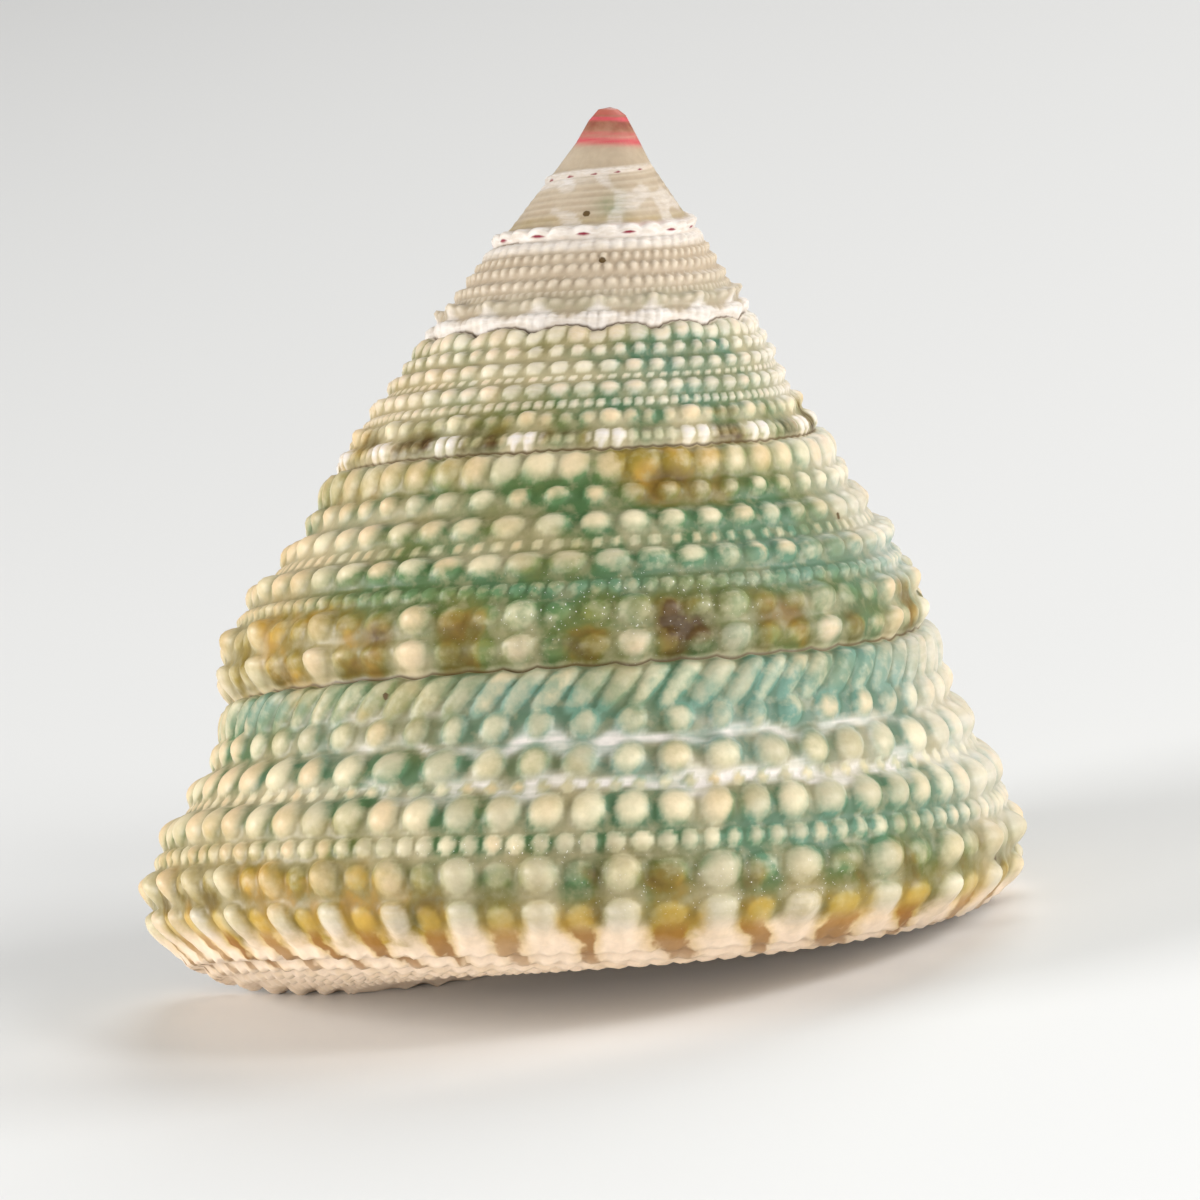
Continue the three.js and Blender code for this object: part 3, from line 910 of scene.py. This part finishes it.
OCHRE_PATCHES = [
    (7.346, 0.05, 0.02, 0.1, 0.5), (7.3, 0.16, 0.03, 0.12, 0.4), (7.36, 0.75, 0.03, 0.1, 0.5),
    (8.213, 0.06, 0.026, 0.1, 2.0), (8.19, 0.11, 0.024, 0.08, 1.0), (8.198, 0.225, 0.024, 0.045, 1.1),
    (8.4, 0.1, 0.08, 0.1, 0.7), (8.36, 0.85, 0.05, 0.14, 0.8), (8.42, 0.8, 0.05, 0.2, 0.6),
    (8.235, 0.8, 0.03, 0.12, 0.4), (8.14, 0.85, 0.05, 0.15, 0.3), (9.395, 0.8, 0.02, 0.16, 0.4),
    (9.33, 0.93, 0.06, 0.09, 0.75), (9.37, 0.8, 0.05, 0.12, 0.9), (9.255, 0.94, 0.025, 0.06, 0.85),
    (9.205, 0.95, 0.02, 0.05, 0.9), (9.18, 0.92, 0.02, 0.05, 0.6), (9.12, 0.94, 0.04, 0.05, 0.4),
    (9.37, 0.56, 0.02, 0.03, 0.35), (9.38, 0.12, 0.07, 0.12, 0.35),
]
BROWN_PATCHES = [
    (7.345, 0.86, 0.02, 0.07, 0.6), (8.205, 0.92, 0.02, 0.08, 1.2), (8.212, 0.8, 0.013, 0.06, 1.1),
    (8.2, 0.21, 0.025, 0.05, 0.7), (8.345, 0.84, 0.015, 0.07, 0.5), (8.27, 0.95, 0.01, 0.04, 0.5),
    (8.12, 0.8, 0.02, 0.05, 0.4), (9.25, 0.74, 0.02, 0.05, 0.3),
]
CHALK_PATCHES = [
    (9.24, 0.295, 0.09, 0.035, 0.9), (9.2, 0.455, 0.1, 0.04, 1.0), (9.3, 0.3, 0.07, 0.03, 0.7),
    (9.36, 0.2, 0.05, 0.06, 0.6), (9.13, 0.31, 0.05, 0.04, 0.7), (9.13, 0.45, 0.06, 0.04, 0.7),
    (9.3, 0.46, 0.07, 0.03, 0.6), (9.22, 0.36, 0.08, 0.08, 0.35),
]
# The most that patches add up to
PATCHES_MOST = 2
# Patches of painted glints, fine bright specks that stand in for tiny highlights, as above
PAINTED_GLINT_PATCHES = [(8.24, 0.76, 0.06, 0.16, 1.0), (9.28, 0.68, 0.03, 0.05, 1.0), (9.2, 0.83, 0.06, 0.1, 0.7)]
# Patches of green on the young whorls, as above
YOUNG_GREEN_PATCHES = [(6.2, 0.75, 0.25, 0.14, 0.25), (5.24, 0.5, 0.03, 0.2, 0.6)]
# Small dark specks: turns and share down the whorl, and how far their distance is told (mm)
SPECKS = [(6.255, 0.28), (8.083, 0.41), (9.346, 0.09), (9.054, 0.85), (5.29, 0.62)]
SPECK_REACH = 2.0
# Rings of colour round the tip: depth below it, half width (both mm), strength
ROSE_RINGS = [(0.6, 0.1, 0.95), (1.72, 0.2, 0.85), (1.35, 0.1, 0.4), (0.95, 0.6, 0.26)]
OCHRE_RINGS = [(0.9, 0.6, 0.55)]
BROWN_RINGS = [(0.8, 0.6, 0.8)]

# Clouds of noise: size in millimetres and seed; and how many waves they are made of, how their sizes
# spread, and the sum that counts as full
CLOUDS = {
    "warp": (4, 21), "drift": (3, 22), "mottle": (9, 3), "spots": (3.2, 5), "teal": (12, 9),
    "ochre": (5, 12), "belt": (5, 31), "brown": (1.6, 14), "chalk": (1.8, 15),
}
CLOUD_WAVES = 14
CLOUD_SIZES = (0.7, 1.6)
CLOUD_RANGE = 4.5
# How far a patch's outline wanders, in turns and in share down the whorl
WARP_ALONG = 0.02
WARP_DOWN = 0.08
# The front's middle and half width (parts of a turn)
FRONT = (0.24, 0.24)

# Masks from 0 to 1: the field that each reads, and where in it the mask is 0 and where it is 1
MASKS = {
    # Stretches of the coil (turns)
    "foot_chalked": ("turn", 3.9, 4.3), "dashed": ("turn", 4.0, 4.1), "flecked": ("turn", 4.8, 5.0),
    "tanned": ("turn", 4.9, 5.0), "mauve_on": ("turn", 5.0, 5.2), "mauve_off": ("turn", 5.7, 5.5),
    "suture_chalked": ("turn", 5.2, 5.5), "humped": ("turn", 5.3, 5.7), "hump_chalked": ("turn", 5.4, 5.8),
    "scalloped": ("turn", 5.5, 5.8), "late": ("turn", 6.55, 6.85), "young": ("turn", 6.75, 6.6),
    "brown_on": ("turn", 6.6, 6.9), "brown_off": ("turn", 7.8, 7.7), "pale_off": ("turn", 7.72, 7.62),
    "plain_humps": ("turn", 7.7, 8.0), "body": ("turn", 8.6, 8.7),
    # Parts of a whorl (share down it) and of the base (1 at its edge, 2 at the axis)
    "under_suture": ("down", 0.18, 0.1), "folds": ("down", 0.22, 0.16),
    "fold_green": ("down", 0.28, 0.16), "left_bare": ("down", 0.15, 0.4),
    "left_ochre": ("down", 0.3, 0.6), "low_part": ("down", 0.7, 0.8),
    "hump_row": ("down", 0.84, 0.9), "glow_on": ("down", 0.84, 0.95), "rim_on": ("down", 0.93, 0.985),
    "ember_on": ("down", 0.94, 0.985), "base": ("down", 0.985, 1.03), "side": ("down", 1.03, 0.985),
    "glow_dims": ("down", 1.0, 1.14), "ember_off": ("down", 1.16, 1.06), "glow_off": ("down", 1.5, 1.3),
    # Sides of the shell (parts of a turn), humps (parts of the way to the next one), depth (mm)
    "left_on": ("near", 0.36, 0.42), "left_off": ("near", 0.6, 0.52), "right_limb": ("off_limb", 0.12, 0.04),
    "gap": ("off_hump", 0.12, 0.34), "hump_top": ("off_hump", 0.26, 0.16), "salmon": ("depth", 0.5, 0.35),
    # Up a bead, from its valley (0) to its crest (1)
    "valley": ("crest", 1.0, 0.2), "open_ground": ("crest", 0.55, 0.05), "chalk_ground": ("crest", 0.7, 0.0),
    "white_top": ("crest", 0.2, 0.6), "pale_top": ("crest", 0.1, 0.6),
    # Clouds
    "mottled": ("mottle", 0.35, 0.8), "green_spots": ("spots", 0.4, 0.8), "wide_spots": ("spots", 0.1, 0.6),
    "ochre_spots": ("spots", 0.3, 0.8), "brown_spots": ("spots", 0.5, 0.9),
    "mauve_spots": ("spots", 0.5, 0.7), "teal_clouds": ("teal", 0.4, 0.7),
    "ochre_clouds": ("ochre", 0.5, 0.95), "belt_clouds": ("belt", 0.3, 0.7),
    "brown_clouds": ("brown", 0.3, 0.7), "fleck_clouds": ("chalk", 0.6, 0.8),
}
# Level belts down a whorl: the field that each reads, its middle and half width
BELTS = {
    "tan_belt": ("low", 0.72, 0.07), "mauve_belt": ("down", 0.87, 0.05), "ochre_belt": ("low", 0.88, 0.08),
}
# Marks of the first whorls that end sharply, and the turn where they do
ENDINGS = {"wide_dashes": 4.7, "before_flecks_end": 5.6, "before_marks_end": 5.7}
# Masks that are products of others; "no_" turns a mask round
PRODUCTS = {
    "lower": "low_part side late", "hump": "hump_top humped", "left_limb": "left_on left_off",
    "pale_whorl": "late pale_off", "rim": "body rim_on", "between_beads": "ribbon open_ground",
    "white_hump": "hump white_top hump_row side hump_chalked",
}
# Washes: strength, and the masks that each is laid through
WASHES = {
    "green": [(0.05, "back late"), (0.8, "back late mottled"), (0.14, "late"), (0.35, "late green_spots"),
              (0.6, "late lower gap")],
    "green_over": [(0.25, "body fold_green"), (0.6, "body between_beads wide_spots"),
                   (0.2, "late no_pale_whorl between_beads wide_spots")],
    "teal": [(1.0, "back teal_clouds"), (0.6, "right_limb")],
    "ochre": [(0.55, "lower ochre_spots gap"), (0.25, "late ochre_clouds"),
              (0.2, "late left_limb left_ochre"), (0.3, "body ochre_belt belt_clouds")],
    "ochre_over": [(0.9, "salmon"), (0.35, "young tan_belt tanned before_marks_end")],
    "brown": [(0.45, "lower gap brown_spots"),
              (0.6, "no_hump hump_row side brown_on brown_off brown_clouds")],
    # painted light: the chalk wash on the right limb, the shell's right side as the camera sees it, makes
    # that side lighter
    "chalk": [(0.35, "pale_whorl pale_top no_lower"), (0.42, "late right_limb no_lower"),
              (0.8, "young suture_chalked under_suture"),
              (0.5, "young flecked fleck_clouds before_flecks_end")],
    "rose": [(0.3, "mauve_belt mauve_spots mauve_on mauve_off"), (0.5, "salmon")],
}

# Wear, and painted light on the limbs: the share of a pigment that is missing, and the masks that it is
# missing through
WEAR_AND_PAINTED_LIGHT = {
    # painted light: green taken off the left and right limbs, the shell's sides as the camera sees them,
    # makes those sides lighter
    "green": [(0.75, "left_limb left_bare"), (0.45, "right_limb")],
    "green_over": [(1.0, "rim"), (0.1, "body"), (0.25, "pale_whorl")],
    "green_taken": [(0.4, "lower no_gap")],
    "ochre_patches": [(0.3, "no_valley"), (0.75, "lower no_gap")],
    "brown_patches": [(0.75, "lower no_gap")],
    "chalk_patches": [(1.0, "no_chalk_ground"), (0.7, "between_beads")],
    "chalk_humps": [(0.8, "plain_humps some_humps"), (0.3, "body")],
    "glow": [(0.75, "glow_dims")],
}
# How well beads, folds and thick green take up green, and the most that lies anywhere
GREEN_ON_BEADS = 0.33
GREEN_ON_FOLDS = 0.6
GREEN_THICK = (0.9, 1.7)
GREEN_ON_THICK = 0.9
GREEN_MOST = 1.1
# Chalk: strength of its patches, and how much less the plainer humps and how much more the last whorl's have
CHALK_PATCHED = 0.95
CHALK_LESS = 0.7
CHALK_MORE = 0.2
# Chalk at the foot of a young whorl: strength, where it starts down the whorl, how far that drops where the
# humps start and rises round each of them (with the half width in humps), and its soft edge
FOOT_CHALK = 0.85
FOOT_STARTS = 0.82
FOOT_DROP = 0.1
FOOT_RISE = (0.14, 0.3)
FOOT_EDGE = 0.06
# Crimson dashes: number in a turn, how far and how often they swerve, level and depth of their wave,
# place and half width down the whorl, how much thicker they are near the tip, and their middle's strength
DASHES = 13
DASH_SWERVE = 2.5
DASH_PACE = 9
DASH_WAVE = (0.45, 0.55)
DASH_AT = 0.97
DASH_WIDTH = 0.034
DASH_THICKER = 0.05
DASH_PEAK = 1.2
DASH_MOST = 0.8
# Flames of the edge: lean in humps for the whole base, swerve, unevenness, strength of the glow
FLAME_LEAN = 2.2
FLAME_SWERVE = 0.2
FLAME_UNEVEN = 0.5
GLOW_KEPT = 0.75
# How much darker the beads of the last whorl are, and how much lighter the left limb's beads are painted,
# painted light on the shell's left side, as steps of tone
BODY_TONE = 0.22
LEFT_LIMB_PAINTED_LIGHT = 0.3
# How strong the painted shade in the valleys is before the last whorl, and how much chalk takes that painted
# shade away
SHADE_BEFORE = 0.85
CHALK_LIGHTS = (0.2, 0.6)


def patches(table, turn, down):
    """Sum of soft oval patches, each with its own strength."""
    total = np.zeros(turn.shape)
    for at_turn, at_down, half_turn, half_down, strength in table:
        far = ((turn - at_turn) / half_turn) ** 2 + ((down - at_down) / half_down) ** 2
        total = total + strength * np.exp(-far)
    return np.clip(total, 0, PATCHES_MOST)


def cloud(points, size, seed):
    """Smooth noise from 0 to 1 in space, as a sum of plane waves about one size in millimetres."""
    waves = np.random.default_rng(seed)
    total = np.zeros(len(points))
    for _ in range(CLOUD_WAVES):
        direction = waves.normal(size=3)
        direction *= 2 * np.pi / (size * waves.uniform(*CLOUD_SIZES) * np.linalg.norm(direction))
        total += np.sin(points @ direction + waves.uniform(0, 2 * np.pi))
    return smooth(total, -CLOUD_RANGE, CLOUD_RANGE)


def line(x, centre, width):
    """A soft line round a centre."""
    return np.exp(-(((x - centre) / width) ** 2))


def rings(table, depth):
    """Sum of soft rings round the tip."""
    return sum(strength * line(depth, centre, width) for centre, width, strength in table)


def near_speck(points):
    """Distance in millimetres to the nearest dark speck."""
    far = np.full(len(points), SPECK_REACH)
    for turn, down in SPECKS:
        middle = whorl_surface(np.array([turn]), np.array([down]))[0][0]
        far = np.minimum(far, np.linalg.norm(points - middle, axis=1))
    return far


def row_ribbon(down):
    """How near each point is to the middle line of a corded row of beads, from 0 to 1."""
    near_row = np.zeros(down.shape)
    for row in BEAD_ROWS[1:]:
        if row["cord"]:
            near_row = np.maximum(near_row, dome((down - row["at"]) / (row["width"] * (1 + LATE_BROADER))))
    return near_row


class Place:
    """What is known of each point by name: its place on the shell and the masks for the pigments."""

    def __init__(self, points, turn, down, crest):
        near, humps = turn % 1, hump_place(turn)
        self.known = {"turn": turn, "down": down, "crest": crest, "depth": -points[:, 2], "near": near,
                      "off_limb": np.minimum(near, 1 - near), "back": 1 - line(near, *FRONT),
                      "humps": humps, "off_hump": np.abs(humps - np.round(humps)),
                      "ribbon": row_ribbon(down), "some_humps": hashed(np.round(humps), CHALK_ROW)}
        self.known.update({name: cloud(points, *values) for name, values in CLOUDS.items()})
        self.known["at"] = turn + WARP_ALONG * (self["warp"] - 0.5)
        self.known["low"] = down + WARP_DOWN * (self["drift"] - 0.5)
        self.known.update({name: turn < end for name, end in ENDINGS.items()})
        for name, (field, *ends) in MASKS.items():
            self.known[name] = smooth(self[field], *ends)
        for name, (field, *values) in BELTS.items():
            self.known[name] = line(self[field], *values)
        for name, masks in PRODUCTS.items():
            self.known[name] = self.through(masks)

    def __getitem__(self, name):
        return 1 - self.known[name[3:]] if name.startswith("no_") else self.known[name]

    def through(self, masks):
        """Product of the masks named in a string."""
        return math.prod(self[name] for name in masks.split())

    def washed(self, name):
        """Sum of the washes of a pigment."""
        return sum(strength * self.through(masks) for strength, masks in WASHES[name])

    def left(self, name):
        """Share of a pigment that its wear and the painted light of the limbs leave."""
        return math.prod(1 - strength * self.through(masks) for strength, masks in WEAR_AND_PAINTED_LIGHT[name])

    def patched(self, table):
        """Sum of patches with wandering outlines."""
        return patches(table, self["at"], self["low"])


def green_of(p):
    """Green as the sides and whorls keep it, and as the valleys, beads and folds take it up."""
    cover = (p.patched(GREEN_PATCHES) + p.washed("green")) * p.left("green") + p.washed("green_over")
    cover = (cover + patches(YOUNG_GREEN_PATCHES, p["turn"], p["low"])) * p.left("green_over")
    soaked = GREEN_ON_BEADS + (1 - GREEN_ON_BEADS) * p["valley"]
    soaked = np.maximum(soaked, GREEN_ON_THICK * smooth(cover, *GREEN_THICK))
    soaked = np.maximum(soaked, GREEN_ON_FOLDS * p.through("body folds"))
    return p["side"] * np.clip(cover, 0, GREEN_MOST) * soaked * p.left("green_taken")


def ochre_and_brown(p):
    """Ochre and brown, in patches that the humps keep clear of, in washes, and in rings round the tip."""
    ochre = p.patched(OCHRE_PATCHES) * p.left("ochre_patches") + p.washed("ochre")
    ochre = ochre * p["side"] + p.washed("ochre_over") + rings(OCHRE_RINGS, p["depth"])
    brown = p.patched(BROWN_PATCHES) * p.left("brown_patches") + p.washed("brown")
    return ochre, brown * p["side"] + rings(BROWN_RINGS, p["depth"])


def chalk_of(p):
    """Chalk in the valleys, on the humps, at the foot of the young whorls and in washes."""
    humps = p["white_hump"] * p.left("chalk_humps")
    humps = humps * (1 - CHALK_LESS * p["plain_humps"] + CHALK_MORE * p["body"])
    rise = FOOT_RISE[0] * line(p["off_hump"], 0, FOOT_RISE[1])
    start = FOOT_STARTS + p["scalloped"] * (FOOT_DROP - rise)
    foot = p.through("young foot_chalked side") * smooth(p["down"], start, start + FOOT_EDGE)
    chalk = CHALK_PATCHED * p.patched(CHALK_PATCHES) * p.left("chalk_patches")
    return chalk + humps + FOOT_CHALK * foot + p.washed("chalk")


def dashes_of(p):
    """Crimson dashes along the sutures near the tip."""
    swerve = DASH_SWERVE * wander(p["turn"] * DASH_PACE, DASH_ROW)
    dashes = DASH_WAVE[0] + DASH_WAVE[1] * np.cos(2 * np.pi * DASHES * p["turn"] + swerve)
    thick = DASH_WIDTH + DASH_THICKER * p["wide_dashes"]
    across = np.clip(DASH_PEAK - np.abs(p["down"] - DASH_AT) / thick, 0, DASH_MOST)
    return dashes * across * p.through("dashed before_marks_end")


def flames(p):
    """Gold flames that lean across the edge of the base, one to a gap between humps, with brown cores."""
    leaning = p["humps"] + FLAME_LEAN * np.clip(p["down"] - 1, 0, 1)
    blaze = 0.5 - 0.5 * np.cos(2 * np.pi * (leaning + FLAME_SWERVE * (p["warp"] - 0.5)))
    uneven = 1 - FLAME_UNEVEN + FLAME_UNEVEN * hashed(np.floor(leaning), FLAME_ROW)
    glow = GLOW_KEPT * uneven * p.through("body glow_on glow_off") * p.left("glow")
    return {"blaze": blaze, "glow": glow, "ember": uneven * p.through("body ember_on ember_off")}


def pigments(points, turn, down, crest, tone):
    """How much of each pigment lies at each point; points are in the shell's own frame, in millimetres."""
    p = Place(points, turn, down, crest)
    chalk, (ochre, brown) = chalk_of(p), ochre_and_brown(p)
    clipped = {"teal": p.patched(TEAL_PATCHES) + p.washed("teal"), "ochre": ochre, "chalk": chalk,
               "rose": rings(ROSE_RINGS, p["depth"]) + p.washed("rose")}
    found = {name: np.clip(values, 0, 1) for name, values in clipped.items()}
    found.update(flames(p))
    found.update({"green": green_of(p), "brown": brown, "dash": dashes_of(p), "late": p["late"],
                  "grains": patches(PAINTED_GLINT_PATCHES, turn, down), "speck": near_speck(points)})
    found["pale"] = np.maximum(p["base"], p["rim"])
    # painted light: the beads of the left limb, the shell's left side as the camera sees it, are made lighter
    found["tone"] = tone - BODY_TONE * p.through("body no_left_limb") + LEFT_LIMB_PAINTED_LIGHT * p["left_limb"]
    # Painted shade in the valleys: how strongly they are darkened, less where chalk lies, and none on the
    # base or the pale rim
    found["shade"] = (1 - smooth(chalk, *CHALK_LIGHTS)) * p.through("side no_rim")
    found["shade"] *= SHADE_BEFORE + (1 - SHADE_BEFORE) * p["body"]
    return found


shell, tip = make_shell()
shell.data.materials.append(shell_material())
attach(shell, "root")
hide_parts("shell")
add_stage(add_camera(tip))
